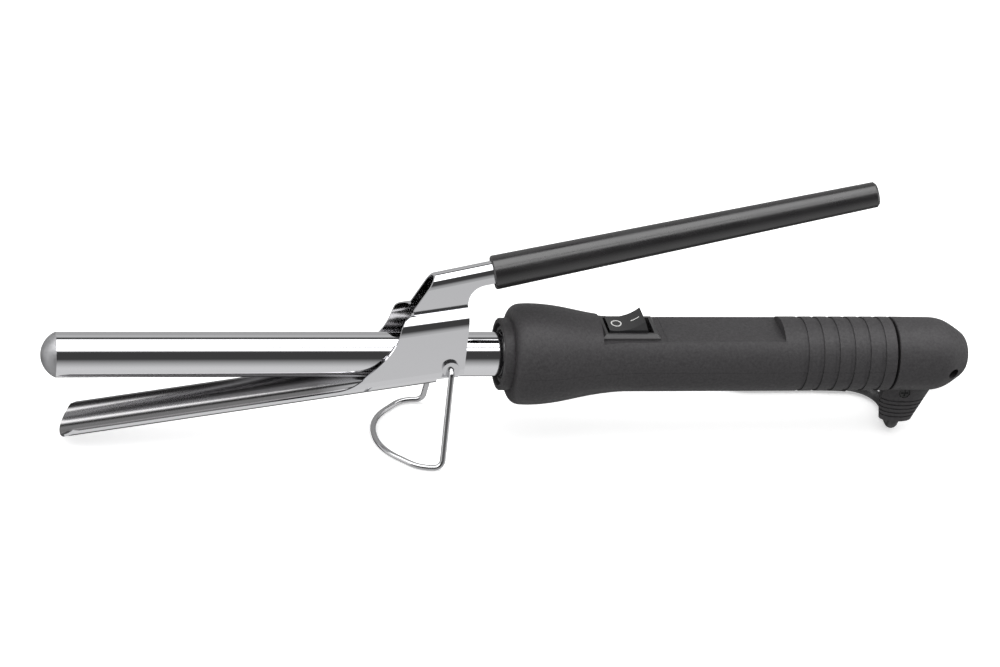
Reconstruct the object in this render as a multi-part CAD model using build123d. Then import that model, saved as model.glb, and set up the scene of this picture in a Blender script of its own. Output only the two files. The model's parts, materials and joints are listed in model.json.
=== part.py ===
from build123d import *
import math
import os

# A chrome curling iron with a lever clamp, wire stand, rocker switch and swivel cord cap.
# All lengths are millimetres. The parts are drawn in the tool's own frame, which has X along
# the barrel towards the cord end, Z up, X = 0 at the clamp pivot and Z = 0 on the barrel's
# axis, and are then moved so that the origin is under the middle of the tool, on the table.

# ---- driving dimensions -------------------------------------------------------------------
TIP_X = -143.2            # nose of the barrel
TAIL_X = 195.6            # rear of the swivel cap
AXIS_HEIGHT = 34.5        # barrel axis above the table
CENTRE_X = (TIP_X + TAIL_X) / 2

BARREL_R = 8.0
BARREL_WALL = 0.7
BARREL_FRONT_X = -138.0
BARREL_BACK_X = 44.0

PIVOT_Z = 0.0             # the clamp and the stand turn about this height
OPEN_DEG = 9.6            # how far the clamp stands open
SHEET = 0.8               # sheet metal of the clamp
TROUGH_R, TROUGH_Z = 10.8, 1.7    # outside of the jaw's trough, and its centre above the barrel's axis
TROUGH_HALF_DEG = 62.7
CHEEK_Y = 9.7             # outside of the two cheeks
JAW_TIP_X, JAW_REAR_X = -138.9, -5.2   # nose of the jaw, and where its floor ends
JAW_EDGE_Z = TROUGH_Z - TROUGH_R * math.cos(math.radians(TROUGH_HALF_DEG)) - 0.05
SHOULDER_Z = 15.2         # top of the flat cheeks
NECK_HALF = 4.0           # half the width of the lever channel
LEVER_DEG = 4.0           # rise of the lever with the clamp shut
LEVER_IN_SLEEVE = 45.0
SLEEVE_FRONT = (18.8, 30.7)
SLEEVE_LENGTH = 140.0
SLEEVE_R1, SLEEVE_R2 = 6.1, 4.6
RIVET_R = 2.3
RIVET_HEAD_R = 3.0
RIVET_FACE_Y = 11.0

WIRE_R = 1.0
STAND_LEG_Y = 22.75
STAND_LEG_X = -1.9
STAND_FOOT_X, STAND_FOOT_Y = -23.15, 9.42

COLLAR_X, COLLAR_R = 18.8, 13.0
GRIP_R = 13.6
GRIP_END_X = 164.9
SHELL_WALL = 2.0
FLAT_Z = 10.2
FLAT_X = (54.6, 122.6)
SEAT_Z, SEAT_END = 10.1, 78.5   # the flat is a hair lower round the switch
GROOVE_X0, GROOVE_PITCH, GROOVE_W, GROOVE_DEPTH, GROOVES = 130.3, 5.87, 1.75, 0.45, 6

SWITCH_X, ROCKER_Z, ROCKER_TILT = 65.4, 9.0, 16.0
BEZEL = (21.2, 15.0, 1.9)

CAP_X = 165.9
BOOT_X, BOOT_TIP_R = 173.0, 27.8   # the boot's tip is part of a cylinder about the swivel axis

CORD_D = 4.0
HANK_RUN = 16 * CORD_D
HANK_FOLD_R = (3 * CORD_D, 4 * CORD_D, 5 * CORD_D)
HANK_X, HANK_Y = 158.0, 50.5
HANK_LAYERS = 2
HANK_LIFT = 0.5           # thickness of the tie that the turns lie on
PLUG_FRONT_X, PLUG_Y = 51.0, 49.0
PLUG_LENGTH, PLUG_WIDTH, PLUG_THICK = 36.0, 34.0, 13.6
PLUG_TAIL = 9.0
PIN_R, PIN_LENGTH, PIN_PITCH = 2.0, 19.0, 18.6
TABLE_Z = -AXIS_HEIGHT


# ---- helpers ------------------------------------------------------------------------------
def spun(*curves):
    """The body turned about the X axis by a closed outline in the XZ plane."""
    edges = [edge for curve in curves for edge in curve.edges()]
    return revolve(make_face(edges), Axis.X, 360)


def outline(*points):
    """A closed straight-sided outline in the XZ plane."""
    return Polyline(*[(x, 0, z) for x, z in points], close=True)


def rod(r, x0, x1):
    return Pos((x0 + x1) / 2, 0, 0) * Rot(0, 90, 0) * Cylinder(r, x1 - x0)


def tube(r_out, r_in, x0, x1):
    return rod(r_out, x0, x1) - rod(r_in, x0, x1)


def block(x0, x1, y0, y1, z0, z1):
    centre = Pos((x0 + x1) / 2, (y0 + y1) / 2, (z0 + z1) / 2)
    return centre * Box(x1 - x0, y1 - y0, z1 - z0)


def cross_rod(r, y0, y1, x, z):
    """A rod along Y."""
    return Pos(x, (y0 + y1) / 2, z) * Rot(90, 0, 0) * Cylinder(r, abs(y1 - y0))


def upright(r, z0, z1, x, y=0.0):
    return Pos(x, y, (z0 + z1) / 2) * Cylinder(r, z1 - z0)


def slab(face, half_width):
    """A face in the XZ plane thickened to both sides."""
    return extrude(face, amount=half_width, dir=(0, 1, 0), both=True)


def round_wire(path, r):
    """A round section swept along a path."""
    start = Plane(origin=path @ 0, z_dir=path % 0)
    return sweep(start * Circle(r), path=path)


def about_pivot(shape, degrees):
    return Pos(0, 0, PIVOT_Z) * Rot(0, degrees, 0) * Pos(0, 0, -PIVOT_Z) * shape


def corner_radii(points, share=0.45):
    """The arc at each inner point: a share of the shorter run over the tangent of half the turn."""
    vectors = [Vector(*point) for point in points]
    runs = [after - before for before, after in zip(vectors, vectors[1:])]
    room = [run.length for run in runs]
    room[0] *= 2      # an end run holds one arc only
    room[-1] *= 2
    radii = []
    for i in range(len(runs) - 1):
        turn = math.radians(runs[i].get_angle(runs[i + 1]))
        radii.append(share * min(room[i], room[i + 1]) / math.tan(turn / 2))
    return radii


def free_tube(points, r, name):
    """Straight runs joined by tangent arcs, with its radii and volume reported."""
    radii = corner_radii(points)
    path = FilletPolyline(*points, radius=radii)
    shape = round_wire(path, r)
    ideal = math.pi * r * r * path.length
    print(name, "length", round(path.length, 1), "radii", [round(v, 1) for v in radii],
          "volume ratio", round(shape.volume / ideal, 4))
    return shape


def save(name, shape):
    export_step(Pos(-CENTRE_X, 0, AXIS_HEIGHT) * shape, f"parts/{name}.step")


def save_group(name, shapes):
    save(name, Compound(children=[Pos(0, 0, 0) * shape for shape in shapes]))


# ---- barrel and what is in it -------------------------------------------------------------
def barrel_tube():
    return tube(BARREL_R, BARREL_R - BARREL_WALL, BARREL_FRONT_X, BARREL_BACK_X)


def barrel_tip():
    """A domed end plug whose spigot fills the mouth of the barrel."""
    spigot_r = BARREL_R - BARREL_WALL
    spigot_x = BARREL_FRONT_X + 6
    dome = ThreePointArc((TIP_X, 0, 0), (TIP_X + 1.45, 0, 4.8), (BARREL_FRONT_X, 0, BARREL_R))
    rest = Polyline((BARREL_FRONT_X, 0, BARREL_R), (BARREL_FRONT_X, 0, spigot_r),
                    (spigot_x, 0, spigot_r), (spigot_x, 0, 0), (TIP_X, 0, 0))
    return spun(dome, rest)


def heater():
    """Ceramic core, resistance winding, mica wrap and the metal sleeve that meets the barrel."""
    return {
        "heater_core": tube(4.0, 1.0, -122, -14),
        "heater_winding": tube(4.5, 4.0, -118, -18),
        "mica_wrap": tube(5.0, 4.5, -121, -15),
        "heat_spreader": tube(BARREL_R - BARREL_WALL, 5.0, -120, -16),
    }


def pivot_band():
    """A steel band round the barrel that carries the two hollow rivets."""
    band = tube(BARREL_R + 0.3, BARREL_R, -4, 4)
    return band - cross_rod(RIVET_R, -12, 12, 0, PIVOT_Z)


def pivot_rivets():
    """Hollow rivets: the clamp turns on their shanks and the stand in their bores."""
    rivets = []
    for side in (-1, 1):
        shank = cross_rod(RIVET_R, side * 8.0, side * RIVET_FACE_Y, 0, PIVOT_Z)
        head = cross_rod(RIVET_HEAD_R, side * (CHEEK_Y + 0.1), side * RIVET_FACE_Y, 0, PIVOT_Z)
        bore = cross_rod(WIRE_R + 0.08, side * 7.0, side * 12, 0, PIVOT_Z)
        rivets.append(shank + head - bore - rod(BARREL_R, -6, 6))
    return rivets


# ---- clamp --------------------------------------------------------------------------------
def bottle_face(inset):
    """Cross-section of the clamp in the YZ plane: a trough, two cheeks and rounded shoulders."""
    half, neck = CHEEK_Y - inset, NECK_HALF - inset
    shoulder = half - neck
    r = TROUGH_R - inset
    bottom = TROUGH_Z - r

    def on_trough(degrees):
        angle = math.radians(degrees)
        return (0, r * math.sin(angle), TROUGH_Z - r * math.cos(angle))

    right = [
        ThreePointArc((0, 0, bottom), on_trough(TROUGH_HALF_DEG / 2), on_trough(TROUGH_HALF_DEG)),
        Line(on_trough(TROUGH_HALF_DEG), (0, half, -1.2)),
        Line((0, half, -1.2), (0, half, SHOULDER_Z)),
        ThreePointArc((0, half, SHOULDER_Z),
                      (0, neck + shoulder * 0.7071, SHOULDER_Z + shoulder * 0.7071),
                      (0, neck, SHOULDER_Z + shoulder)),
        Line((0, neck, SHOULDER_Z + shoulder), (0, 0, SHOULDER_Z + shoulder)),
    ]
    face = make_face([*right, Line((0, 0, SHOULDER_Z + shoulder), (0, 0, bottom))])
    return face + mirror(face, about=Plane.XZ)


def neck_body(inset, x0, x1):
    """The lever channel with its rounded roof, drawn along the lever's own direction."""
    half = NECK_HALF - inset
    centre_z = 0.46
    depth = 16.0
    top = Pos((x0 + x1) / 2, 0, centre_z) * Rot(0, 90, 0) * Cylinder(half, x1 - x0)
    walls = block(x0, x1, -half, half, centre_z - depth, centre_z)
    return Pos(SLEEVE_FRONT[0], 0, SLEEVE_FRONT[1]) * Rot(0, -LEVER_DEG, 0) * (top + walls)


def clamp_side():
    """The clamp's outline from the side, shut: rim, swept front edge, neck, and rear edge."""
    lever = math.radians(LEVER_DEG)
    under = (SLEEVE_FRONT[0], SLEEVE_FRONT[1] - 2.1)
    end_x = SLEEVE_FRONT[0] + LEVER_IN_SLEEVE * math.cos(lever)
    end_z = under[1] + LEVER_IN_SLEEVE * math.sin(lever)
    sweep_edge = Spline((-41, 0, JAW_EDGE_Z), (-27.8, 0, 2.7), (-20.8, 0, 9.0), (-15.8, 0, 18.2),
                        tangents=[(1, 0, 0), (0.35, 0, 0.93)])
    front = Polyline((JAW_TIP_X, 0, -12), (JAW_TIP_X, 0, JAW_EDGE_Z), (-41, 0, JAW_EDGE_Z))
    neck = Polyline((-15.8, 0, 18.2), (-14.2, 0, 20.0), (-11.4, 0, 20.9), (-2.2, 0, 32.9),
                    (0.4, 0, 36), (end_x, 0, 46),
                    (end_x, 0, end_z), (under[0], 0, under[1]), (14.8, 0, 28.3))
    under_arc = ThreePointArc((14.8, 0, 28.3), (10.9, 0, 26.4), (9.0, 0, 22.8))
    rear = Polyline((9.0, 0, 22.8), (4.6, 0, -3.4), (-1.5, 0, -6.0), (-6.5, 0, -8.2), (-9, 0, -12),
                    (JAW_TIP_X, 0, -12))
    edges = [edge for part in (front, sweep_edge, neck, under_arc, rear) for edge in part.edges()]
    return make_face(edges)


def clamp_plan():
    """The clamp's outline from above, with its rounded nose."""
    nose = 10.0
    x = JAW_TIP_X + nose
    half = CHEEK_Y + 0.3
    plan = Pos(x, 0) * Ellipse(nose, half) + Pos(x + 110, 0) * Rectangle(220, 2 * half)
    return Pos(0, 0, -20) * extrude(plan, amount=80)


def clamp():
    """Jaw, cheeks and lever pressed from one sheet."""
    x0, length = JAW_TIP_X - 1, 150.0
    outer = Pos(x0, 0, 0) * extrude(bottle_face(0), amount=length, dir=(1, 0, 0))
    inner = Pos(x0, 0, 0) * extrude(bottle_face(SHEET), amount=length, dir=(1, 0, 0))
    skin = (outer + neck_body(0, -30, LEVER_IN_SLEEVE)) - (inner + neck_body(SHEET, -31, 80))
    shape = skin & slab(clamp_side(), 12) & clamp_plan()
    web = CHEEK_Y - SHEET
    shape -= block(JAW_REAR_X, 20, -web, web, -20, -1)
    shape -= cross_rod(RIVET_R + 0.08, -12, 12, 0, PIVOT_Z)
    return about_pivot(shape, -OPEN_DEG)


def lever_sleeve():
    """A tapered plastic sleeve over the lever, closed at its far end."""
    body = outline((0, 0), (0, SLEEVE_R1 - 0.5), (0.5, SLEEVE_R1), (SLEEVE_LENGTH - 0.8, SLEEVE_R2),
                   (SLEEVE_LENGTH, SLEEVE_R2 - 0.8), (SLEEVE_LENGTH, 0))
    shape = spun(body) - rod(4.57, -1, LEVER_IN_SLEEVE + 3) - rod(3.0, 0, SLEEVE_LENGTH - 8)
    placed = Pos(SLEEVE_FRONT[0], 0, SLEEVE_FRONT[1]) * Rot(0, -LEVER_DEG, 0) * shape
    return about_pivot(placed, -OPEN_DEG)


# ---- wire stand ---------------------------------------------------------------------------
def wire_stand():
    """One bent wire: two splayed legs, and a foot that lies flat on the table."""
    foot_z = TABLE_Z + WIRE_R
    side = [
        (0, 8.3, PIVOT_Z),
        (0, 12.6, PIVOT_Z),
        (STAND_LEG_X, STAND_LEG_Y, foot_z),
        (-9.8, STAND_LEG_Y, foot_z),
        (STAND_FOOT_X, STAND_FOOT_Y, foot_z),
    ]
    points = side + [(x, -y, z) for x, y, z in reversed(side)]
    bends = [2.2, 3.0, 11.0, 21.0]
    path = FilletPolyline(*points, radius=bends + bends[::-1])
    return round_wire(path, WIRE_R)


# ---- handle -------------------------------------------------------------------------------
def handle_outside():
    """Collar, flare and grip, turned about the barrel's axis."""
    flare = [
        Polyline((COLLAR_X, 0, 0), (COLLAR_X, 0, COLLAR_R - 0.4), (COLLAR_X + 0.4, 0, COLLAR_R),
                 (22.6, 0, COLLAR_R)),
        Spline((22.6, 0, COLLAR_R), (23.2, 0, 16.2), (26.4, 0, 18.1), tangents=[(0, 0, 1), (1, 0, 0.1)]),
        Spline((26.4, 0, 18.1), (31.5, 0, 18.2), (42, 0, 17.0), (52, 0, 15.0), (62, 0, 13.75),
               (74, 0, GRIP_R), tangents=[(1, 0, 0.1), (1, 0, 0)]),
        Polyline((74, 0, GRIP_R), (GRIP_END_X - 0.3, 0, GRIP_R), (GRIP_END_X, 0, GRIP_R - 0.3),
                 (GRIP_END_X, 0, 0), (COLLAR_X, 0, 0)),
    ]
    body = spun(*flare)
    x0, x1 = FLAT_X
    body -= block(x0, x1, -20, 20, FLAT_Z, 30) + block(x0, SEAT_END, -20, 20, SEAT_Z, 30)
    for i in range(GROOVES):
        x = GROOVE_X0 + i * GROOVE_PITCH
        body -= tube(GRIP_R + 2, GRIP_R - GROOVE_DEPTH, x - GROOVE_W / 2, x + GROOVE_W / 2)
    return body


def handle_inside():
    """The hollow: open at the collar, and narrowed at the rear to hold the swivel spindle."""
    wide = spun(outline((24.6, 0), (24.6, 14.6), (27, 16.1), (31, 16.1), (60, GRIP_R - SHELL_WALL),
                        (157, GRIP_R - SHELL_WALL), (157, 0)))
    wide -= block(FLAT_X[0] - SHELL_WALL, FLAT_X[1] + SHELL_WALL, -20, 20, FLAT_Z - SHELL_WALL, 30)
    return wide + rod(11.2, COLLAR_X - 1, 26) + rod(8.02, 150, 170) + tube(10.6, 7.9, 159.5, 162.3)


BOSS_X = (90.0, 116.0, 150.0)


def handle_shells():
    """Upper and lower shells, split level with the barrel's axis, with three screw bosses."""
    shell = handle_outside() - handle_inside()
    lower = shell & block(0, 200, -30, 30, -30, -0.03)
    upper = shell & block(0, 200, -30, 30, 0.03, 30)
    for x in BOSS_X:
        ceiling = FLAT_Z - 0.6 if x < FLAT_X[1] else GRIP_R - 1
        lower += upright(3.2, -GRIP_R + 1, -0.03, x) - upright(2.9, -20, -9.0, x)
        lower -= upright(2.9, -20, -9.0, x) + upright(1.45, -20, 1, x)
        upper += upright(3.2, 0.03, ceiling, x) - upright(1.2, -1, 8.0, x)
    sx, sy, _ = BEZEL
    upper -= block(SWITCH_X - sx / 2 + 1, SWITCH_X + sx / 2 - 1, -sy / 2 + 1, sy / 2 - 1, 2, 20)
    return upper, lower


def handle_screws():
    """Three self-tapping screws, driven from below."""
    screws = []
    for x in BOSS_X:
        slot = block(x - 2.2, x + 2.2, -0.35, 0.35, -12, -10.4)
        cross = block(x - 0.35, x + 0.35, -2.2, 2.2, -12, -10.4)
        screws.append(upright(2.6, -11.1, -9.0, x) + upright(1.2, -9.1, 7.6, x) - slot - cross)
    return screws


def insulator_bush():
    """A heat-proof bush that centres the barrel in the handle's collar."""
    body = tube(11.1, BARREL_R, 20.6, 31) + tube(14.4, BARREL_R, 27.3, 30.2)
    lip = tube(9.9, 8.9, 19.6, 20.7)
    for turn in (0, 90):
        lip -= Rot(turn, 0, 0) * block(19, 22, -12, 12, -1.3, 1.3)
    face = tube(10.4, 9.9, 20.0, 20.7)
    return body + lip + face


def barrel_retainer():
    """A clamp ring that stops the barrel sliding out of the handle."""
    ring = tube(11.4, BARREL_R, 38, 42)
    foot_pads = block(38, 42, -3, 3, -13.9, -11) + block(38, 42, -3, 3, 11, 13.9)
    return ring + foot_pads


# ---- switch -------------------------------------------------------------------------------
def switch_body():
    """A snap-in rocker switch body with a bevelled frame."""
    sx, sy, sz = BEZEL
    frame = Pos(SWITCH_X, 0, SEAT_Z + sz / 2) * Box(sx, sy, sz)
    frame = chamfer(frame.faces().sort_by(Axis.Z)[-1].edges(), 1.1)
    lower = block(SWITCH_X - 9.4, SWITCH_X + 9.4, -6.3, 6.3, -3.6, SEAT_Z + 0.1)
    window = block(SWITCH_X - 8.5, SWITCH_X + 8.5, -5.3, 5.3, 3.2, 20)
    pins = cross_rod(1.05, -8, 8, SWITCH_X, ROCKER_Z)
    blades = block(SWITCH_X - 6.6, SWITCH_X - 5.8, -2.4, 2.4, -9, 4)
    blades += block(SWITCH_X + 5.8, SWITCH_X + 6.6, -2.4, 2.4, -9, 4)
    return frame + lower - window - pins - blades


def rocker():
    """The rocker at rest, pressed down at its front end."""
    half, top = 6.6, 6.0
    face = make_face([
        *ThreePointArc((-half, 0, top), (0, 0, top - 1.7), (half, 0, top)).edges(),
        *Polyline((half, 0, top), (half + 0.5, 0, 0.8), (4.2, 0, -3.6), (-4.2, 0, -3.6),
                  (-half - 0.5, 0, 0.8), (-half, 0, top)).edges(),
    ])
    body = slab(face, 5.0) - cross_rod(1.1, -8, 8, 0, 0)
    return Pos(SWITCH_X, 0, ROCKER_Z) * Rot(0, -ROCKER_TILT, 0) * body


def rocker_pin():
    return cross_rod(1.0, -6.2, 6.2, SWITCH_X, ROCKER_Z)


def switch_terminals():
    """Two flat blades under the switch."""
    return [block(SWITCH_X + dx - 0.4, SWITCH_X + dx + 0.4, -2.4, 2.4, -9, 3.0) for dx in (-6.2, 6.2)]


FUSE_Z = -8.0


# ---- wiring in the handle -----------------------------------------------------------------
def thermal_fuse():
    return Pos(0, 0, FUSE_Z) * (rod(1.9, 48.5, 55) + rod(0.5, 47.5, 58.8))


def inner_leads():
    """Insulated leads: supply to switch, switch to fuse, and the neutral to the heater."""
    r = 0.8
    routes = {
        "lead_supply": [(158.5, -2.6, 1.5), (142, -6.4, 1.5), (104, -7.4, -1), (86, -6.2, -5),
                        (SWITCH_X + 7.4, -0.4, -7.5)],
        "lead_heater": [(47.1, 0, FUSE_Z + 0.2), (45.6, 0, -6.8), (43.0, 0, -4.0), (36, 0, -2.9),
                        (-2, 0, -2.2), (-14, 0, -1.9)],
        "lead_neutral": [(158.5, 2.6, 1.5), (142, 6.4, 1.5), (104, 7.4, -1), (80, 7.6, -6.2),
                         (58, 6.6, -6.7), (48.5, 3.0, -3.2), (40, 1.0, 1.8), (20, 0, 2.4), (-14, 0, 2.2)],
    }
    leads = {}
    for name, points in routes.items():
        path = FilletPolyline(*points, radius=[0.8 * v for v in corner_radii(points)])
        leads[name] = round_wire(path, r)
    return leads


# ---- swivel cap ---------------------------------------------------------------------------
def swivel_spindle():
    """A hollow spindle held in the shells, with a flange that the cap turns behind."""
    body = rod(8.0, 159.6, 173) + tube(10.5, 7, 159.6, 162.2) + tube(10.0, 7, 171, 173)
    return body - rod(4.6, 150, 180)


def slip_rings():
    """Two brass rings that keep contact as the cap turns."""
    return [tube(4.6, 3.7, x, x + 2.4) for x in (161, 167)]


def brush_springs():
    """Two sprung contact fingers that ride inside the slip rings."""
    fingers = []
    for x, side in ((161.9, -1), (167.9, 1)):
        arm = block(x, 179, side * 1.6 - 0.25, side * 1.6 + 0.25, -0.9, 0.9)
        pad = block(x, x + 1, min(side * 1.6, side * 3.4), max(side * 1.6, side * 3.4), -0.7, 0.7)
        fingers.append(arm + pad)
    return fingers


def boot_solid():
    """The tapered boot under the cap, cut to a cylinder about the swivel axis at its tip."""
    bottom, top = -29.5, -9.0
    low = Pos(BOOT_X, 0, bottom) * Ellipse(5.7, 3.4)
    high = Pos(BOOT_X + 2.3, 0, top) * Ellipse(11.6, 5.2)
    boot = loft([low.face(), high.face()])
    for i in range(5):
        z = -18.4 - 1.75 * i
        share = (z - bottom) / (top - bottom)
        x = BOOT_X + 2.3 * share
        long, wide = 5.7 + 5.9 * share, 3.4 + 1.8 * share
        ring = Ellipse(long + 2, wide + 2) - Ellipse(long - 0.45, wide - 0.45)
        boot -= Pos(x, 0, z - 0.3) * extrude(ring, amount=0.6)
    return boot & rod(BOOT_TIP_R, CAP_X, 200)


CAP_SCREWS = ((188.0, -2.2), (173.4, -14.5))


def boot_channel():
    """The cord's way up through the boot, past the lower screw and into the cap."""
    points = [(BOOT_X, 0, -BOOT_TIP_R - 1), (BOOT_X, 0, -21), (BOOT_X + 4.8, 0, -14), (BOOT_X + 4.8, 0, -10.2)]
    return FilletPolyline(*points, radius=[4.5, 3.5])


def cap_halves():
    """Two halves split along the boot, with the near half drilled for its screws."""
    dome = spun(
        Polyline((CAP_X, 0, 0), (CAP_X, 0, GRIP_R - 0.3), (CAP_X + 0.3, 0, GRIP_R), (180, 0, 13.45)),
        Spline((180, 0, 13.45), (186, 0, 12.4), (191, 0, 9.5), (TAIL_X, 0, 0),
               tangents=[(1, 0, 0), (0, 0, -1)]),
        Polyline((TAIL_X, 0, 0), (CAP_X, 0, 0)),
    )
    hollow = spun(outline((170.6, 0), (170.6, 10.6), (173.4, 11.4), (181, 11.2), (185, 9.5), (190, 6), (190, 0)))
    hollow += rod(8.08, CAP_X - 1, 171)
    shape = (dome + boot_solid()) - hollow
    x, z = CAP_SCREWS[0]
    shape += cross_rod(3.0, -14, 14, x, z) & dome
    shape -= round_wire(boot_channel(), CORD_D / 2)
    near = shape & block(150, 200, -30, -0.03, -40, 30)
    far = shape & block(150, 200, 0.03, 30, -40, 30)
    for x, z in CAP_SCREWS:
        near -= cross_rod(2.1, -30, -3.2, x, z) + cross_rod(1.1, -5, 1, x, z)
        far -= cross_rod(0.9, -1, 2.9, x, z)
    return near, far


def cap_screws():
    screws = []
    for x, z in CAP_SCREWS:
        head = cross_rod(1.9, -4.4, -3.2, x, z) - block(x - 1.4, x + 1.4, -5, -4.0, z - 0.25, z + 0.25)
        screws.append(head - block(x - 0.25, x + 0.25, -5, -4.0, z - 1.4, z + 1.4)
                      + cross_rod(0.9, -3.3, 2.7, x, z))
    return screws


def cord_inner():
    """The cord's last stretch, inside the boot, up to the grip in the cap."""
    return round_wire(boot_channel(), CORD_D / 2) & rod(BOOT_TIP_R, CAP_X, 200)


# ---- cord, hank and plug ------------------------------------------------------------------
def cord_route():
    """The lead from under the boot, over the table, to the hank behind the handle."""
    floor = TABLE_Z + CORD_D / 2
    start = -BOOT_TIP_R - 0.3
    drop = start - floor
    half = drop * math.tan(math.radians(15))
    return [
        (BOOT_X, 0, start),
        (BOOT_X, 0, start - half),
        (BOOT_X, half, floor + half),
        (BOOT_X, drop - half, floor),
        (BOOT_X + 0.4, 7.4, floor),
        (BOOT_X + 2.2, 14.6, floor),
        (BOOT_X + 1.8, HANK_Y - HANK_FOLD_R[-1] - CORD_D / 2 - 0.4, floor),
    ]


def hank():
    """The outer shape of the wound length, two layers of turns side by side."""
    outer = HANK_FOLD_R[-1] + CORD_D / 2
    inner = HANK_FOLD_R[0] - CORD_D / 2
    ring = SlotCenterToCenter(HANK_RUN, 2 * outer) - SlotCenterToCenter(HANK_RUN, 2 * inner)
    height = HANK_LAYERS * CORD_D
    return Pos(HANK_X, HANK_Y, TABLE_Z + HANK_LIFT) * extrude(ring, amount=height)


def cord_tie():
    """A hook-and-loop strap round the near side of the hank."""
    outer = HANK_FOLD_R[-1] + CORD_D / 2
    inner = HANK_FOLD_R[0] - CORD_D / 2
    y0, y1 = HANK_Y - outer, HANK_Y - inner
    z0, z1 = TABLE_Z + HANK_LIFT, TABLE_Z + HANK_LIFT + HANK_LAYERS * CORD_D
    t = HANK_LIFT
    strap = block(HANK_X - 6, HANK_X + 6, y0 - t, y1 + t, z0 - t, z1 + t)
    return strap - block(HANK_X - 7, HANK_X + 7, y0, y1, z0, z1)


def plug():
    """A flat two-pin plug lying on the table, with its moulded tail towards the hank."""
    z = TABLE_Z + PLUG_THICK / 2
    back = PLUG_FRONT_X + PLUG_LENGTH

    def section(width, thick, x):
        edge = thick * 0.28
        shoulder = width * 0.29
        points = [(-width / 2, -edge), (-shoulder, -thick / 2), (shoulder, -thick / 2), (width / 2, -edge),
                  (width / 2, edge), (shoulder, thick / 2), (-shoulder, thick / 2), (-width / 2, edge)]
        ring = Polyline(*[(x, PLUG_Y + y, z + h) for y, h in points], close=True)
        return make_face(ring.edges())

    front = loft([section(PLUG_WIDTH, PLUG_THICK, PLUG_FRONT_X),
                  section(PLUG_WIDTH, PLUG_THICK, PLUG_FRONT_X + 14)])
    rear = loft([section(PLUG_WIDTH, PLUG_THICK, PLUG_FRONT_X + 14), section(15, 10, back)])
    body = front + rear
    pins, sockets = [], []
    for side in (-1, 1):
        x0 = PLUG_FRONT_X - PIN_LENGTH
        pin = rod(PIN_R, x0, PLUG_FRONT_X)
        pin = chamfer(pin.faces().sort_by(Axis.X)[0].edges(), 0.8)
        pin += rod(PIN_R - 0.5, PLUG_FRONT_X, PLUG_FRONT_X + 6)
        place = Pos(0, PLUG_Y + side * PIN_PITCH / 2, z)
        pins.append(place * pin)
        sockets.append(place * rod(PIN_R - 0.5, PLUG_FRONT_X - 1, PLUG_FRONT_X + 6))
    for hole in sockets:
        body -= hole
    tail = Pos(0, PLUG_Y, z) * (spun(outline((back, 0), (back, 4.6), (back + PLUG_TAIL, 2.9), (back + PLUG_TAIL, 0))))
    for i in range(3):
        x = back + 1.6 + 2.4 * i
        tail -= Pos(0, PLUG_Y, z) * tube(7, 3.5 - 0.3 * i, x, x + 1.1)
    return body, pins, tail


def cord_tail():
    """The short end from the hank into the plug's tail."""
    z = TABLE_Z + PLUG_THICK / 2
    x0 = PLUG_FRONT_X + PLUG_LENGTH + PLUG_TAIL
    x1 = HANK_X - HANK_RUN / 2 - HANK_FOLD_R[-1] - CORD_D / 2
    r = HANK_FOLD_R[-1] + CORD_D / 2
    end = Pos(0, PLUG_Y, z) * rod(CORD_D / 2, x0, x1 + 1)
    return end - Pos(HANK_X - HANK_RUN / 2, HANK_Y, z) * Cylinder(r, 30)


# ---- write every sub-part -----------------------------------------------------------------
def main():
    os.makedirs("parts", exist_ok=True)
    save("barrel_tube", barrel_tube())
    save("barrel_tip", barrel_tip())
    for name, shape in heater().items():
        save(name, shape)
    save("pivot_band", pivot_band())
    save_group("pivot_rivets", pivot_rivets())
    save("clamp", clamp())
    save("lever_sleeve", lever_sleeve())
    save("wire_stand", wire_stand())
    upper, lower = handle_shells()
    save("handle_upper_shell", upper)
    save("handle_lower_shell", lower)
    save_group("handle_screws", handle_screws())
    save("insulator_bush", insulator_bush())
    save("barrel_retainer", barrel_retainer())
    save("switch_body", switch_body())
    save("switch_rocker", rocker())
    save("rocker_pin", rocker_pin())
    save_group("switch_terminals", switch_terminals())
    save("thermal_fuse", thermal_fuse())
    for name, shape in inner_leads().items():
        save(name, shape)
    save("swivel_spindle", swivel_spindle())
    save_group("slip_rings", slip_rings())
    save_group("brush_springs", brush_springs())
    near, far = cap_halves()
    save("cap_near_half", near)
    save("cap_far_half", far)
    save_group("cap_screws", cap_screws())
    save("cord_inner", cord_inner())
    save("cord_lead", free_tube(cord_route(), CORD_D / 2, "cord_lead"))
    save("cord_hank", hank())
    save("cord_tie", cord_tie())
    save("cord_tail", cord_tail())
    body, pins, tail = plug()
    save("plug_body", body)
    save_group("plug_pins", pins)
    save("plug_tail", tail)


main()
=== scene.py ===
"""Looks for a chrome curling iron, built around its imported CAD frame.

Lengths are written in millimetres in the tool's own frame, with X = 0 at the clamp pivot and Z = 0
on the barrel's axis. place() turns them into metres in the row's frame.
"""
import json
import math

import bpy
import bmesh
from mathutils import Matrix, Vector


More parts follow.
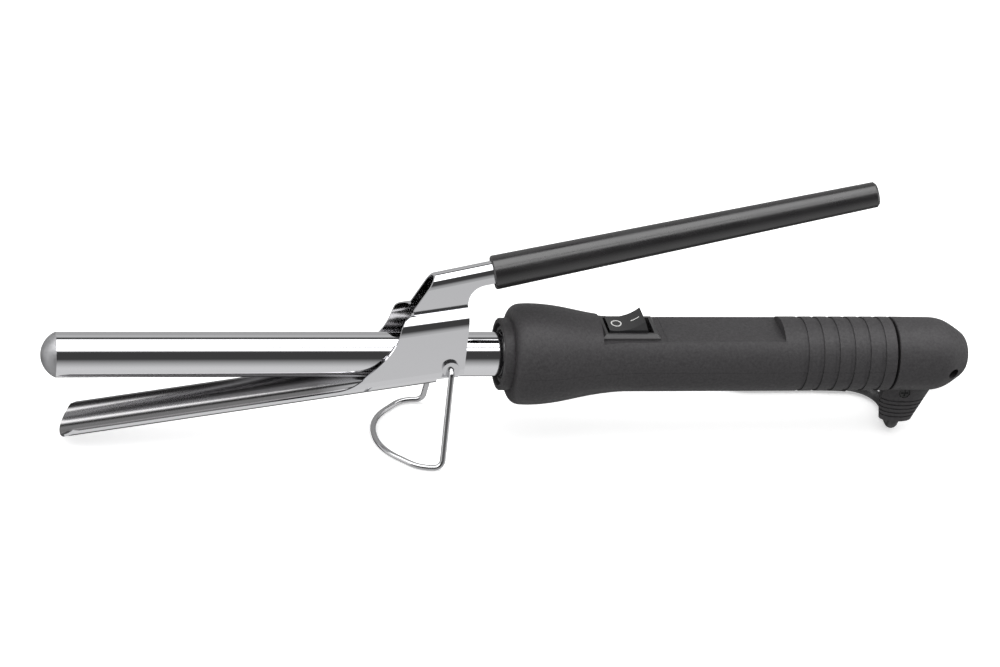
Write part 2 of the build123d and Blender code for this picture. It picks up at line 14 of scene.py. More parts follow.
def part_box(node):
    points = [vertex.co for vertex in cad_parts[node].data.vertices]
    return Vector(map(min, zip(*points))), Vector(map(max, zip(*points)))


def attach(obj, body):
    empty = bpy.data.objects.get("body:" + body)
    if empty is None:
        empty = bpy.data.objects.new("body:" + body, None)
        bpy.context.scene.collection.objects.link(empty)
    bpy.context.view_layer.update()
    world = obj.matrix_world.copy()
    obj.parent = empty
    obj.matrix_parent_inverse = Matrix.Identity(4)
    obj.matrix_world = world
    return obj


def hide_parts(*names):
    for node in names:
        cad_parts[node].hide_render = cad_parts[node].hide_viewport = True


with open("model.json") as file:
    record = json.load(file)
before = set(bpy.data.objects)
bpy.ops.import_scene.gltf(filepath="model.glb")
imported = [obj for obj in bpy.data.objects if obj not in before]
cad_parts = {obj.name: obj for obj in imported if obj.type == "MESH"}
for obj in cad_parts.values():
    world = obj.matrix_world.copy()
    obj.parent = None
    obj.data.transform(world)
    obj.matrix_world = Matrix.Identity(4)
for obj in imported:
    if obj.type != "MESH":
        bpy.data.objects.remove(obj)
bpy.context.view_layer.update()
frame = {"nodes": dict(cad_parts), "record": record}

# ---- places, from the frame ---------------------------------------------------------------
BARREL_LOW, BARREL_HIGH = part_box("barrel_tube")
AXIS_Z = (BARREL_LOW[2] + BARREL_HIGH[2]) / 2
JOINT_PLACES = {joint["name"]: joint["pos_m"] for joint in frame["record"]["behaviour"]["joints"]}
PIVOT = JOINT_PLACES["clamp_hinge"]
MM = 0.001


def place(x, y, z):
    """A point of the tool's own frame, in millimetres, as metres in the row's frame."""
    return Vector((PIVOT[0] + x * MM, y * MM, AXIS_Z + z * MM))


TABLE_Z = -AXIS_Z / MM      # the table, in the tool's own frame


# ---- node materials -----------------------------------------------------------------------
class Shader:
    """A small helper that builds one Principled material from nodes."""

    def __init__(self, name, color, roughness, metallic=0.0, coat=0.0, specular=0.5):
        self.material = bpy.data.materials.new(name)
        self.material.use_nodes = True
        self.tree = self.material.node_tree
        self.tree.nodes.clear()
        self.out = self.tree.nodes.new("ShaderNodeOutputMaterial")
        self.bsdf = self.tree.nodes.new("ShaderNodeBsdfPrincipled")
        self.tree.links.new(self.bsdf.outputs[0], self.out.inputs[0])
        self.bsdf.inputs["Base Color"].default_value = (*color, 1)
        self.bsdf.inputs["Roughness"].default_value = roughness
        self.bsdf.inputs["Metallic"].default_value = metallic
        self.bsdf.inputs["Coat Weight"].default_value = coat
        self.bsdf.inputs["Specular IOR Level"].default_value = specular
        self.bump_input = None

    def coords(self, scale=(1, 1, 1)):
        where = self.tree.nodes.new("ShaderNodeTexCoord")
        mapping = self.tree.nodes.new("ShaderNodeMapping")
        mapping.inputs["Scale"].default_value = scale
        self.tree.links.new(where.outputs["Object"], mapping.inputs["Vector"])
        return mapping.outputs[0]

    def noise(self, size_mm, stretch=(1, 1, 1), detail=3.0, rough=0.5):
        """Noise whose features are about size_mm across."""
        node = self.tree.nodes.new("ShaderNodeTexNoise")
        node.inputs["Scale"].default_value = 1.0 / (size_mm * MM)
        node.inputs["Detail"].default_value = detail
        node.inputs["Roughness"].default_value = rough
        self.tree.links.new(self.coords(stretch), node.inputs["Vector"])
        return node.outputs[0]

    def spread(self, value, low, high):
        """Maps a noise value, mostly between 0.3 and 0.7, to low and high."""
        node = self.tree.nodes.new("ShaderNodeMapRange")
        node.inputs["From Min"].default_value = 0.3
        node.inputs["From Max"].default_value = 0.7
        node.inputs["To Min"].default_value = low
        node.inputs["To Max"].default_value = high
        self.tree.links.new(value, node.inputs["Value"])
        return node.outputs[0]

    def vary_roughness(self, value, low, high):
        self.tree.links.new(self.spread(value, low, high), self.bsdf.inputs["Roughness"])

    def vary_color(self, value, dark, light):
        mix = self.tree.nodes.new("ShaderNodeMix")
        mix.data_type = "RGBA"
        mix.inputs["A"].default_value = (*dark, 1)
        mix.inputs["B"].default_value = (*light, 1)
        self.tree.links.new(self.spread(value, 0, 1), mix.inputs["Factor"])
        self.tree.links.new(mix.outputs["Result"], self.bsdf.inputs["Base Color"])

    def bump(self, value, depth_mm, strength=1.0):
        node = self.tree.nodes.new("ShaderNodeBump")
        node.inputs["Distance"].default_value = depth_mm * MM
        node.inputs["Strength"].default_value = strength
        self.tree.links.new(value, node.inputs["Height"])
        if self.bump_input is not None:
            self.tree.links.new(self.bump_input, node.inputs["Normal"])
        self.bump_input = node.outputs[0]
        self.tree.links.new(self.bump_input, self.bsdf.inputs["Normal"])


PLATE = (0.83, 0.83, 0.85)
# Painted shade: the darker plate colour on the clamp's inner faces, which the barrel and the cheeks shade.
SHADED_PLATE = (0.32, 0.315, 0.32)


def chrome():
    """Mirror plate with faint polishing lines round the barrel and soft handling marks."""
    s = Shader("chrome_plate", PLATE, 0.04, metallic=1.0)
    s.vary_roughness(s.noise(14), 0.03, 0.075)
    s.bump(s.noise(30, (1, 3, 3), detail=1.0), 0.02, 0.35)
    s.bump(s.noise(0.6, (6, 1, 1)), 0.002, 0.25)
    return s.material


def clamp_chrome():
    """The same plate, rougher on the inner faces of the cheeks and of the jaw, with painted shade there: a
    darker plate colour.
    """
    s = Shader("clamp_chrome", PLATE, 0.05, metallic=1.0)
    where = s.tree.nodes.new("ShaderNodeTexCoord")

    def part_of(output, axis):
        split = s.tree.nodes.new("ShaderNodeSeparateXYZ")
        s.tree.links.new(where.outputs[output], split.inputs[0])
        return split.outputs[axis]

    def ramp(value, low, high, to_low=0.0, to_high=1.0):
        node = s.tree.nodes.new("ShaderNodeMapRange")
        limits = {"From Min": low, "From Max": high, "To Min": to_low, "To Max": to_high}
        for socket, number in limits.items():
            node.inputs[socket].default_value = number
        s.tree.links.new(value, node.inputs["Value"])
        return node.outputs[0]

    def join(operation, a, b):
        node = s.tree.nodes.new("ShaderNodeMath")
        node.operation = operation
        s.tree.links.new(a, node.inputs[0])
        s.tree.links.new(b, node.inputs[1])
        return node.outputs[0]

    # Painted shade: upward faces along the jaw and inward faces of the cheeks get the darker plate colour,
    # in place of the barrel and cheeks shading what they mirror.
    faces_up = ramp(part_of("Normal", "Z"), 0.05, 0.3)
    along_jaw = ramp(part_of("Object", "X"), PIVOT[0] - 0.030, PIVOT[0] - 0.045)
    faces_in = ramp(join("MULTIPLY", part_of("Normal", "Y"), part_of("Object", "Y")), -0.0005, -0.0025)
    shaded_inside = join("MAXIMUM", join("MULTIPLY", faces_up, along_jaw), faces_in)
    mix = s.tree.nodes.new("ShaderNodeMix")
    mix.data_type = "RGBA"
    mix.inputs["A"].default_value = (*PLATE, 1)
    mix.inputs["B"].default_value = (*SHADED_PLATE, 1)
    s.tree.links.new(shaded_inside, mix.inputs["Factor"])
    s.tree.links.new(mix.outputs["Result"], s.bsdf.inputs["Base Color"])
    s.tree.links.new(ramp(shaded_inside, 0, 1, 0.05, 0.15), s.bsdf.inputs["Roughness"])
    s.bump(s.noise(30, (1, 3, 3), detail=1.0), 0.02, 0.35)
    s.bump(s.noise(0.6, (6, 1, 1)), 0.002, 0.25)
    return s.material


def tip_metal():
    """The satin cast end of the barrel."""
    s = Shader("tip_metal", (0.42, 0.42, 0.43), 0.5, metallic=1.0)
    s.vary_roughness(s.noise(3.0), 0.44, 0.58)
    s.vary_color(s.noise(5.0), (0.38, 0.38, 0.39), (0.46, 0.46, 0.47))
    s.bump(s.noise(0.25), 0.008, 0.5)
    return s.material


def stand_wire():
    s = Shader("stand_wire", (0.55, 0.55, 0.56), 0.14, metallic=1.0)
    s.vary_roughness(s.noise(2.5), 0.10, 0.22)
    s.bump(s.noise(0.8, (1, 1, 0.15)), 0.004, 0.5)
    return s.material


def handle_plastic():
    """Dark grey moulding with a fine spark-eroded texture and a slight sheen."""
    s = Shader("handle_plastic", (0.042, 0.040, 0.042), 0.5, specular=0.25)
    s.vary_color(s.noise(0.9, detail=4.0, rough=0.7), (0.034, 0.032, 0.034), (0.056, 0.054, 0.056))
    s.vary_roughness(s.noise(1.2), 0.42, 0.58)
    s.bump(s.noise(0.5, detail=4.0, rough=0.6), 0.05, 0.8)
    s.bump(s.noise(1.4), 0.05, 0.5)
    return s.material


def sleeve_plastic():
    """Shrunk-on glossy black sleeve, a little uneven along its length."""
    s = Shader("sleeve_plastic", (0.016, 0.015, 0.016), 0.24, specular=0.9)
    s.vary_roughness(s.noise(6.0, (0.3, 1, 1)), 0.20, 0.34)
    s.bump(s.noise(9.0, (0.25, 1, 1), detail=1.0), 0.05, 0.35)
    s.bump(s.noise(0.5), 0.006, 0.3)
    return s.material


def switch_frame_plastic():
    s = Shader("switch_frame", (0.045, 0.044, 0.045), 0.34)
    s.vary_roughness(s.noise(1.0), 0.30, 0.42)
    s.bump(s.noise(0.3), 0.006, 0.35)
    return s.material


def rocker_plastic():
    s = Shader("rocker_plastic", (0.016, 0.016, 0.017), 0.14, coat=0.3)
    s.vary_roughness(s.noise(2.0), 0.11, 0.2)
    s.bump(s.noise(1.5), 0.004, 0.3)
    return s.material


def mark_paint():
    s = Shader("mark_paint", (0.78, 0.78, 0.76), 0.45)
    s.vary_roughness(s.noise(0.4), 0.38, 0.55)
    s.vary_color(s.noise(0.7), (0.70, 0.70, 0.68), (0.84, 0.84, 0.82))
    return s.material


def heat_plastic():
    s = Shader("heat_plastic", (0.055, 0.054, 0.055), 0.55)
    s.vary_roughness(s.noise(1.5), 0.48, 0.64)
    s.vary_color(s.noise(3.0), (0.042, 0.041, 0.042), (0.07, 0.068, 0.07))
    s.bump(s.noise(0.4), 0.02, 0.5)
    return s.material


def cord_rubber():
    s = Shader("cord_rubber", (0.025, 0.025, 0.026), 0.42)
    s.vary_roughness(s.noise(4.0), 0.36, 0.50)
    s.bump(s.noise(0.5), 0.01, 0.4)
    return s.material


def tie_fabric():
    """A woven strap: two crossed waves."""
    s = Shader("tie_fabric", (0.03, 0.03, 0.032), 0.85)
    for direction in ("X", "Z"):
        wave = s.tree.nodes.new("ShaderNodeTexWave")
        wave.bands_direction = direction
        wave.inputs["Scale"].default_value = 900
        s.tree.links.new(s.coords(), wave.inputs["Vector"])
        s.bump(wave.outputs["Fac"], 0.08, 0.6)
    s.vary_color(s.noise(0.5), (0.02, 0.02, 0.022), (0.05, 0.05, 0.053))
    return s.material


def plain_metal(name, color, roughness):
    s = Shader(name, color, roughness, metallic=1.0)
    s.vary_roughness(s.noise(2.0), roughness * 0.8, roughness * 1.3)
    s.bump(s.noise(0.5, (3, 1, 1)), 0.004, 0.4)
    return s.material


def plain_plastic(name, color, roughness):
    s = Shader(name, color, roughness)
    s.vary_roughness(s.noise(1.5), roughness * 0.85, min(1.0, roughness * 1.2))
    s.bump(s.noise(0.6), 0.01, 0.3)
    return s.material


CHROME = chrome()
TIE = tie_fabric()
PAINT = mark_paint()
HANDLE = handle_plastic()
RUBBER = cord_rubber()
STEEL = plain_metal("zinc_steel", (0.58, 0.58, 0.58), 0.32)
DARK_STEEL = plain_metal("blackened_steel", (0.06, 0.06, 0.06), 0.4)
BRASS = plain_metal("brass", (0.78, 0.62, 0.30), 0.25)

NODE_MATERIALS = {
    "barrel_tube": CHROME, "clamp": clamp_chrome(), "pivot_band": CHROME, "pivot_rivets": CHROME,
    "barrel_tip": tip_metal(),
    "wire_stand": stand_wire(),
    "handle_upper_shell": HANDLE, "handle_lower_shell": HANDLE,
    "cap_near_half": HANDLE, "cap_far_half": HANDLE,
    "lever_sleeve": sleeve_plastic(),
    "switch_body": switch_frame_plastic(), "switch_rocker": rocker_plastic(),
    "handle_screws": DARK_STEEL, "cap_screws": DARK_STEEL, "rocker_pin": STEEL, "barrel_retainer": STEEL,
    "insulator_bush": heat_plastic(), "swivel_spindle": heat_plastic(),
    "heater_core": plain_plastic("ceramic", (0.82, 0.79, 0.72), 0.7),
    "heater_winding": plain_metal("resistance_wire", (0.42, 0.38, 0.34), 0.45),
    "mica_wrap": plain_plastic("mica", (0.55, 0.47, 0.33), 0.35),
    "heat_spreader": plain_metal("aluminium", (0.75, 0.76, 0.78), 0.3),
    "switch_terminals": BRASS, "slip_rings": BRASS, "brush_springs": BRASS,
    "thermal_fuse": plain_plastic("fuse_case", (0.68, 0.62, 0.50), 0.5),
    "lead_supply": plain_plastic("brown_lead", (0.20, 0.09, 0.04), 0.4),
    "lead_heater": plain_plastic("brown_lead_hot", (0.20, 0.09, 0.04), 0.5),
    "lead_neutral": plain_plastic("blue_lead", (0.04, 0.11, 0.34), 0.4),
    "cord_inner": RUBBER, "cord_tail": RUBBER, "plug_tail": RUBBER,
    "plug_pins": plain_metal("nickel_pins", (0.74, 0.71, 0.66), 0.16),
}


for node, material in NODE_MATERIALS.items():
    for holder in frame["nodes"][node].material_slots:
        holder.link = "OBJECT"
        holder.material = material


# ---- mesh helpers -------------------------------------------------------------------------
def add_mesh(name, shape, material, body):
    """Turns a bmesh into a smooth-shaded piece that moves with a body of the frame."""
    bmesh.ops.recalc_face_normals(shape, faces=shape.faces)
    for face in shape.faces:
        face.smooth = True
    mesh = bpy.data.meshes.new(name)
    shape.to_mesh(mesh)
    shape.free()
    mesh.materials.append(material)
    obj = bpy.data.objects.new(name, mesh)
    bpy.context.collection.objects.link(obj)
    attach(obj, body)
    return obj


def soften(obj, width_mm, angle=40, segments=2):
    """Rounds a piece's sharp edges."""
    bevel = obj.modifiers.new("edge", "BEVEL")
    bevel.width = width_mm * MM
    bevel.segments = segments
    bevel.limit_method = "ANGLE"
    bevel.angle_limit = math.radians(angle)
    bevel.harden_normals = True


# ---- camera, light and floor --------------------------------------------------------------
CAMERA_AZIMUTH, CAMERA_ELEVATION = math.radians(12), math.radians(31)
CAMERA_DISTANCE = 1062      # millimetres, to the clamp pivot, along the view
PIVOT_RIGHT, PIVOT_UP = -19.24, -7.31      # where the pivot stands from the middle of the view
LENS = 107.28


def add_camera():
    sa, ca = math.sin(CAMERA_AZIMUTH), math.cos(CAMERA_AZIMUTH)
    se, ce = math.sin(CAMERA_ELEVATION), math.cos(CAMERA_ELEVATION)
    right = Vector((ca, -sa * ce, sa * se))
    up = Vector((0, se, ce))
    ahead = Vector((sa, ca * ce, -ca * se))
    right = (right - right.dot(ahead) * ahead).normalized()
    up = right.cross(ahead).normalized()
    where = -(ahead * CAMERA_DISTANCE + right * PIVOT_RIGHT + up * PIVOT_UP)
    camera = bpy.data.objects.new("camera", bpy.data.cameras.new("camera"))
    bpy.context.collection.objects.link(camera)
    turn = Matrix((right, up, -ahead)).transposed().to_4x4()
    camera.matrix_world = Matrix.Translation(place(*where)) @ turn
    camera.data.sensor_width = 36
    camera.data.lens = LENS
    camera.data.clip_start = 0.05
    bpy.context.scene.camera = camera


# What the polished parts mirror, as brightness by elevation: 0 is level towards the viewer and 90
# is overhead.
SURROUND = [
    (-180, 0.45), (-156, 0.42), (-149, 0.1), (-122, 0.08), (-114, 0.66), (-45, 0.68), (-34, 0.62),
    (-22, 0.48), (-11, 0.34), (-2, 0.2), (4, 0.1), (7, 0.055), (43, 0.05), (47, 0.5), (52, 3.0),
    (61.5, 3.0), (62.5, 0.4), (66.5, 0.4), (67.5, 3.0), (108, 3.0), (112, 0.6), (117, 0.05),
    (123, 0.05), (129, 0.5), (137, 0.54), (155, 0.4), (180, 0.45)]
PLANE_HALF = 30                 # metres
FLOOR_Z, BOUNCE_Z = -0.0002, -0.0004


def glowing(name, obj, attribute=None, brightness=1.0):
    """Gives a stage piece a material that only shines."""
    material = bpy.data.materials.new(name)
    material.use_nodes = True
    tree = material.node_tree
    tree.nodes.clear()
    out = tree.nodes.new("ShaderNodeOutputMaterial")
    light = tree.nodes.new("ShaderNodeEmission")
    light.inputs["Color"].default_value = (1, 1, 1, 1)
    light.inputs["Strength"].default_value = brightness
    if attribute:
        reader = tree.nodes.new("ShaderNodeAttribute")
        reader.attribute_name = attribute
        tree.links.new(reader.outputs["Fac"], light.inputs["Strength"])
    tree.links.new(light.outputs[0], out.inputs[0])
    obj.data.materials.append(material)


def add_surround(radius=1.6, length=6.0):
    """A tube of studio walls about the barrel's axis, which only reflections see."""
    stops = []
    for (a, low), (b, high) in zip(SURROUND, SURROUND[1:]):
        steps = max(1, math.ceil((b - a) / 5))
        stops += [(a + (b - a) * i / steps, low + (high - low) * i / steps) for i in range(steps)]
    stops.append(SURROUND[-1])
    verts, faces, glow = [], [], []
    for degrees, brightness in stops:
        angle = math.radians(degrees)
        for x in (-length / 2, length / 2):
            verts.append((x, -radius * math.cos(angle), AXIS_Z + radius * math.sin(angle)))
            glow.append(brightness)
    for k in range(2, len(verts), 2):
        faces.append((k - 2, k - 1, k + 1, k))
    mesh = bpy.data.meshes.new("surround")
    mesh.from_pydata(verts, [], faces)
    mesh.attributes.new("glow", "FLOAT", "POINT").data.foreach_set("value", glow)
    obj = bpy.data.objects.new("surround", mesh)
    bpy.context.collection.objects.link(obj)
    glowing("surround", obj, "glow")
    obj.visible_camera = obj.visible_diffuse = obj.visible_shadow = obj.visible_transmission = False


def add_plane(name, height):
    """A level sheet, far wider than the view."""
    mesh = bpy.data.meshes.new(name)
    corners = [(x * PLANE_HALF, y * PLANE_HALF, height) for x, y in ((-1, -1), (1, -1), (1, 1), (-1, 1))]
    mesh.from_pydata(corners, [], [(0, 1, 2, 3)])
    obj = bpy.data.objects.new(name, mesh)
    bpy.context.collection.objects.link(obj)
    return obj


def add_studio():
    """A white floor, two soft lamps, and the surround that the chrome mirrors."""
    world = bpy.data.worlds.new("world")
    bpy.context.scene.world = world
    world.use_nodes = True
    background = world.node_tree.nodes["Background"]
    background.inputs["Color"].default_value = (1, 1, 1, 1)
    background.inputs["Strength"].default_value = 1.0

    floor = add_plane("floor", FLOOR_Z)
    paper = Shader("paper", (0.9, 0.9, 0.9), 0.9, specular=0.0)
    paper.bsdf.inputs["Emission Color"].default_value = (1, 1, 1, 1)
    paper.bsdf.inputs["Emission Strength"].default_value = 0.42
    floor.data.materials.append(paper.material)
    floor.visible_diffuse = floor.visible_glossy = False

    bounce = add_plane("bounce", BOUNCE_Z)
    glowing("bounce", bounce, brightness=0.45)
    bounce.visible_camera = bounce.visible_glossy = bounce.visible_shadow = False

    def lamp(name, where, size, power):
        data = bpy.data.lights.new(name, "AREA")
        data.size = size
        data.energy = power
        obj = bpy.data.objects.new(name, data)
        bpy.context.collection.objects.link(obj)
        obj.location = where
        towards = Vector((0, 0, 0.03)) - Vector(where)
        obj.rotation_euler = towards.to_track_quat("-Z", "Y").to_euler()
        obj.visible_glossy = False

    lamp("overhead", (0.1, -0.25, 1.5), 1.2, 9)
    lamp("left", (-1.3, -0.5, 1.0), 1.0, 3)
    add_surround()


# ---- the cord, its tie and its plug ---------------------------------------------------------
CORD_R = 2.0
LANES = (20.3, 16.2, 12.1)          # radii of the folds, outermost first
FOLD_X = (126.0, 189.6)             # the folds' centres
LOW, HIGH, TOP = 2.55, 6.65, 10.8   # heights of the two layers and of the crossing end
LOW_Y, HIGH_Y = 50.1, 48.2          # the layers' middles
POLE = 1.0 / 0.9659                 # a fold's control points lie outside its arc


def cord_points():
    """The cord's control points: x, y and the height above the table, in millimetres."""
    points = [(173, 0, 6.5), (173, 0, 5.35), (173, 1.15, 3.35), (173.05, 3.15, 2.2), (173.3, 6.4, 2.15),
              (173.9, 11, 2.1), (174.6, 16, 2.1), (173.8, 21.8, 2.15), (169.8, 26.8, 2.3),
              (163.5, 29.4, 2.45), (155, 29.8, LOW)]

    def fold(side, start, r0, r1, y0, y1, h0, h1):
        for i in range(6):
            t = (i + 0.5) / 6
            r = (r0 + (r1 - r0) * t) * POLE
            angle = math.pi * t
            across = r * math.cos(angle) * (-1 if start == "near" else 1)
            x = FOLD_X[1] if side > 0 else FOLD_X[0]
            points.append((x + side * math.sin(angle) * r, y0 + (y1 - y0) * t + across,
                           h0 + (h1 - h0) * t))

    def run(x0, x1, y, h, shares=(0.12, 0.5, 0.88)):
        for t in shares:
            points.append((x0 + (x1 - x0) * t, y, h))

    left, right = FOLD_X
    a, b, c = LANES
    run(150, left, LOW_Y - a, LOW, (0.1, 0.85))
    fold(-1, "near", a, a, LOW_Y, LOW_Y, LOW, LOW)
    run(left, right, LOW_Y + a, LOW)
    fold(1, "far", a, b, LOW_Y, LOW_Y, LOW, LOW)
    run(right, left, LOW_Y - b, LOW)
    fold(-1, "near", b, b, LOW_Y, LOW_Y, LOW, LOW)
    run(left, right, LOW_Y + b, LOW)
    fold(1, "far", b, c, LOW_Y, LOW_Y, LOW, LOW)
    run(right, left, LOW_Y - c, LOW)
    fold(-1, "near", c, c, LOW_Y, LOW_Y, LOW, LOW)
    points += [(133, 61.6, 2.75), (148, 60.4, 3.85), (164, 59.9, 5.15), (180, 59.9, 6.45)]
    fold(1, "far", c - 0.3, c, HIGH_Y, HIGH_Y, HIGH, HIGH)
    run(right, left, HIGH_Y - c, HIGH)
    fold(-1, "near", c, b, HIGH_Y, HIGH_Y, HIGH, HIGH)
    run(left, right, HIGH_Y + b, HIGH)
    fold(1, "far", b, b, HIGH_Y, HIGH_Y, HIGH, HIGH)
    run(right, left, HIGH_Y - b, HIGH)
    fold(-1, "near", b, a, HIGH_Y, HIGH_Y, HIGH, HIGH)
    run(left, right, HIGH_Y + a, HIGH)
    fold(1, "far", a, a - 0.5, HIGH_Y, HIGH_Y + 0.5, HIGH, TOP + 0.2)
    points += [(184, 28.6, 11.3), (170, 31.2, 11.3), (155, 34.5, 11.3), (140, 39.5, 11.2), (127, 45, 11.1),
               (116, 48.2, 11.1), (108.5, 49, 11.3), (103.4, 49, 10.2), (99.6, 49, 7), (94, 49, 6.8)]
    return points


def add_cord():
    """The whole lead as one curve, out of the cap, round the hank and into the plug, and its line."""
    points = cord_points()
    data = bpy.data.curves.new("power_cord", "CURVE")
    data.dimensions = "3D"
    spline = data.splines.new("NURBS")
    spline.points.add(len(points) - 1)
    for control, (x, y, h) in zip(spline.points, points):
        control.co = (*place(x, y, TABLE_Z + h), 1)
    spline.order_u = 3
    spline.use_endpoint_u = True
    spline.resolution_u = 10
    spline.use_smooth = True
    obj = bpy.data.objects.new("power_cord", data)
    bpy.context.collection.objects.link(obj)
    bare = bpy.data.meshes.new_from_object(obj)
    line = [vertex.co.copy() for vertex in bare.vertices]
    bpy.data.meshes.remove(bare)
    data.bevel_depth = CORD_R * MM
    data.bevel_resolution = 6
    data.use_fill_caps = True
    data.materials.append(RUBBER)
    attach(obj, "root")
    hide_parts("cord_lead", "cord_hank", "cord_tail")
    return obj, line


STRAP_WAYS = 96                 # directions in which the strap's loop is measured


def add_tie(line):
    """A woven strap pulled round the near turns, its end lapped over itself."""
    stations = [153 + i for i in range(11)]

    def turns_at(x):
        """Where the near turns cross this plane, as (y, height) in millimetres."""
        found = []
        plane = place(x, 0, 0).x
        for a, b in zip(line, line[1:]):
            if (a.x - plane) * (b.x - plane) < 0 and a.y < 44 * MM:
                p = a.lerp(b, (plane - a.x) / (b.x - a.x))
                found.append((p.y / MM, p.z / MM))
        return found

    def outline_at(x, gap):
        """The strap's loop round the turns, by its distance from their middle."""
        turns = turns_at(x)
        centre = Vector((sum(y for y, _ in turns) / len(turns), sum(h for _, h in turns) / len(turns)))
        ring = []
        for i in range(STRAP_WAYS):
            angle = 2 * math.pi * i / STRAP_WAYS
            way = Vector((math.cos(angle), math.sin(angle)))
            reach = 0
            for k in range(-12, 13):
                side = 2 * math.pi * (i + k) / STRAP_WAYS
                normal = Vector((math.cos(side), math.sin(side)))
                support = max((Vector(t) - centre).dot(normal) for t in turns) + CORD_R + gap
                limit = support / max(0.2, way.dot(normal))
                reach = limit if k == -12 else min(reach, limit)
            ring.append(centre + way * reach)
        return ring

    def band(name, gap, thick, first, last, taper):
        mesh = bmesh.new()
        closed = last - first >= STRAP_WAYS
        count = STRAP_WAYS if closed else last - first + 1
        grid = []
        for x in stations:
            inner, outer = outline_at(x, gap), outline_at(x, gap + thick)
            row = []
            for j in range(count):
                i = (first + j) % STRAP_WAYS
                shift = 0
                if taper:
                    left = min(1.0, (count - 1 - j) / 3)
                    mid = (stations[0] + stations[-1]) / 2
                    shift = (mid - x) * (1 - math.sqrt(1 - (1 - left) ** 2)) * 0.8
                row.append([mesh.verts.new(place(x + shift, p[0], TABLE_Z + p[1]))
                            for p in (inner[i], outer[i])])
            grid.append(row)
        last_s = len(stations) - 1
        for s in range(last_s):
            for j in range(count if closed else count - 1):
                k = (j + 1) % count
                for layer in (0, 1):
                    mesh.faces.new((grid[s][j][layer], grid[s][k][layer],
                                    grid[s + 1][k][layer], grid[s + 1][j][layer]))
        for j in range(count if closed else count - 1):
            k = (j + 1) % count
            for s in (0, last_s):
                mesh.faces.new((grid[s][j][0], grid[s][k][0], grid[s][k][1], grid[s][j][1]))
        if not closed:
            for j in (0, count - 1):
                for s in range(last_s):
                    mesh.faces.new((grid[s][j][0], grid[s + 1][j][0], grid[s + 1][j][1], grid[s][j][1]))
        obj = add_mesh(name, mesh, TIE, "root")
        soften(obj, 0.12, 50)
        return obj

    strap = band("tie_strap", 0.05, 0.35, 0, STRAP_WAYS, False)
    lap = band("tie_lap", 0.44, 0.4, 12, 46, True)
    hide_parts("cord_tie")
    return strap, lap


PLUG_SIDES, PLUG_POWER = 64, 3.2        # points round the plug, and how square its section is


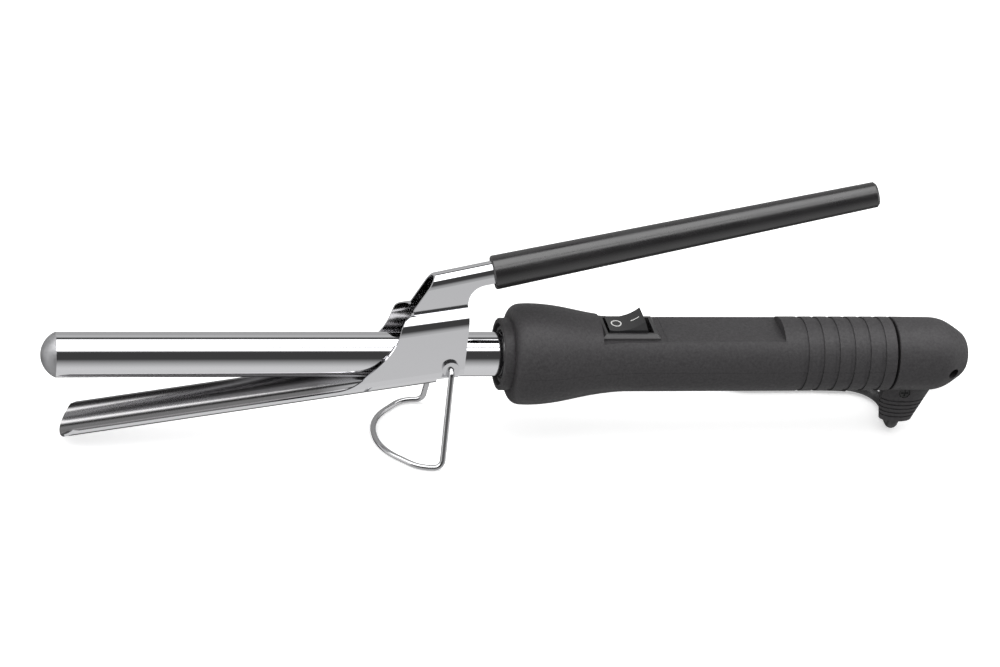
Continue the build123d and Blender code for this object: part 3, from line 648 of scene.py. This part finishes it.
def add_plug():
    """The moulded body of a flat two-pin plug, with ribbed sides to hold it by."""
    low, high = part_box("plug_body")
    front = (low[0] - PIVOT[0]) / MM
    back = (high[0] - PIVOT[0]) / MM
    y = (low[1] + high[1]) / 2 / MM
    z = ((low[2] + high[2]) / 2 - AXIS_Z) / MM
    width, thick = (high[1] - low[1]) / 2 / MM, (high[2] - low[2]) / 2 / MM
    rear_width, rear_thick = 7.5, 5.0

    def half_sizes(x):
        """Half the width and thickness: full at the front, drawn in towards the cord."""
        t = max(0.0, (x - front - 14) / (back - front - 14))
        ease = t * t * (3 - 2 * t)
        mix = 0.6 * t + 0.4 * ease
        w, h = width + (rear_width - width) * mix, thick + (rear_thick - thick) * t
        for edge, distance in ((1.3, x - front), (1.0, back - x)):
            if distance < edge:
                inset = edge - math.sqrt(edge ** 2 - (edge - distance) ** 2)
                w, h = w - inset, h - inset
        if 16 < x - front < 32:
            dip = max(0.0, math.sin((x - front - 16) / 16 * math.pi * 5)) ** 2
            w -= 0.45 * dip
        return w, h

    mesh = bmesh.new()
    xs = [front + d for d in (0, 0.1, 0.3, 0.65, 1.3, 4, 8, 12, 15)]
    xs += [front + 16 + 0.4 * i for i in range(41)]
    xs += [back - d for d in (3.4, 2.6, 1.6, 1.0, 0.5, 0.2, 0.05, 0)]
    rings = []
    for x in xs:
        w, h = half_sizes(x)
        ring = []
        for i in range(PLUG_SIDES):
            angle = 2 * math.pi * i / PLUG_SIDES
            c, s = math.cos(angle), math.sin(angle)
            reach = (abs(c / w) ** PLUG_POWER + abs(s / h) ** PLUG_POWER) ** (-1 / PLUG_POWER)
            ring.append(mesh.verts.new(place(x, y + reach * c, z + reach * s)))
        rings.append(ring)
    for a, b in zip(rings, rings[1:]):
        for i in range(PLUG_SIDES):
            j = (i + 1) % PLUG_SIDES
            mesh.faces.new((a[i], a[j], b[j], b[i]))
    mesh.faces.new(rings[0])
    mesh.faces.new(rings[-1])
    obj = add_mesh("plug_moulding", mesh, RUBBER, "root")
    soften(obj, 0.3)
    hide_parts("plug_body")
    return obj


# ---- paint on the rocker ---------------------------------------------------------------------
ROCKER = JOINT_PLACES["rocker_tilt"]
ROCKER_TILT = math.radians(16)
ROCKER_HALF, ROCKER_TOP, ROCKER_DIP = 6.6, 6.0, 1.7


def rocker_point(along, across, lift):
    """A point on the rocker's hollow top, as it stands at rest, raised by lift."""
    radius = (ROCKER_HALF ** 2 + ROCKER_DIP ** 2) / (2 * ROCKER_DIP)
    up = ROCKER_TOP - ROCKER_DIP + radius - math.sqrt(radius ** 2 - along ** 2) + lift
    c, s = math.cos(ROCKER_TILT), math.sin(ROCKER_TILT)
    return Vector((ROCKER[0] + (along * c - up * s) * MM, across * MM,
                   ROCKER[2] + (along * s + up * c) * MM))


PAINT_LIFT, PAINT_THICK = 0.03, 0.05


def add_marks():
    """The O and I of the switch, as thin paint that follows the rocker's hollow."""
    def paint(name, points):
        mesh = bmesh.new()
        rows = [[mesh.verts.new(rocker_point(u, v, PAINT_LIFT)) for u, v in row] for row in points]
        for i in range(len(rows[0]) - 1):
            mesh.faces.new((rows[0][i], rows[0][i + 1], rows[1][i + 1], rows[1][i]))
        if points[0][0] == points[0][-1]:
            bmesh.ops.remove_doubles(mesh, verts=mesh.verts, dist=1e-7)
        obj = add_mesh(name, mesh, PAINT, "rocker")
        obj.modifiers.new("thickness", "SOLIDIFY").thickness = PAINT_THICK * MM

    turns = [2 * math.pi * i / 48 for i in range(48)] + [0.0]
    paint("mark_off", [[(-3.3 + r * math.cos(a), 0.2 + 1.12 * r * math.sin(a)) for a in turns]
                       for r in (1.45, 1.9)])
    steps = [1.9 + 3.3 * i / 8 for i in range(9)]
    paint("mark_on", [[(u, v) for u in steps] for v in (-0.22, 0.22)])


CORD, CORD_LINE = add_cord()
TIE_PIECES = add_tie(CORD_LINE)
PLUG = add_plug()
add_marks()

add_camera()
add_studio()
bpy.context.scene.view_settings.view_transform = "Standard"
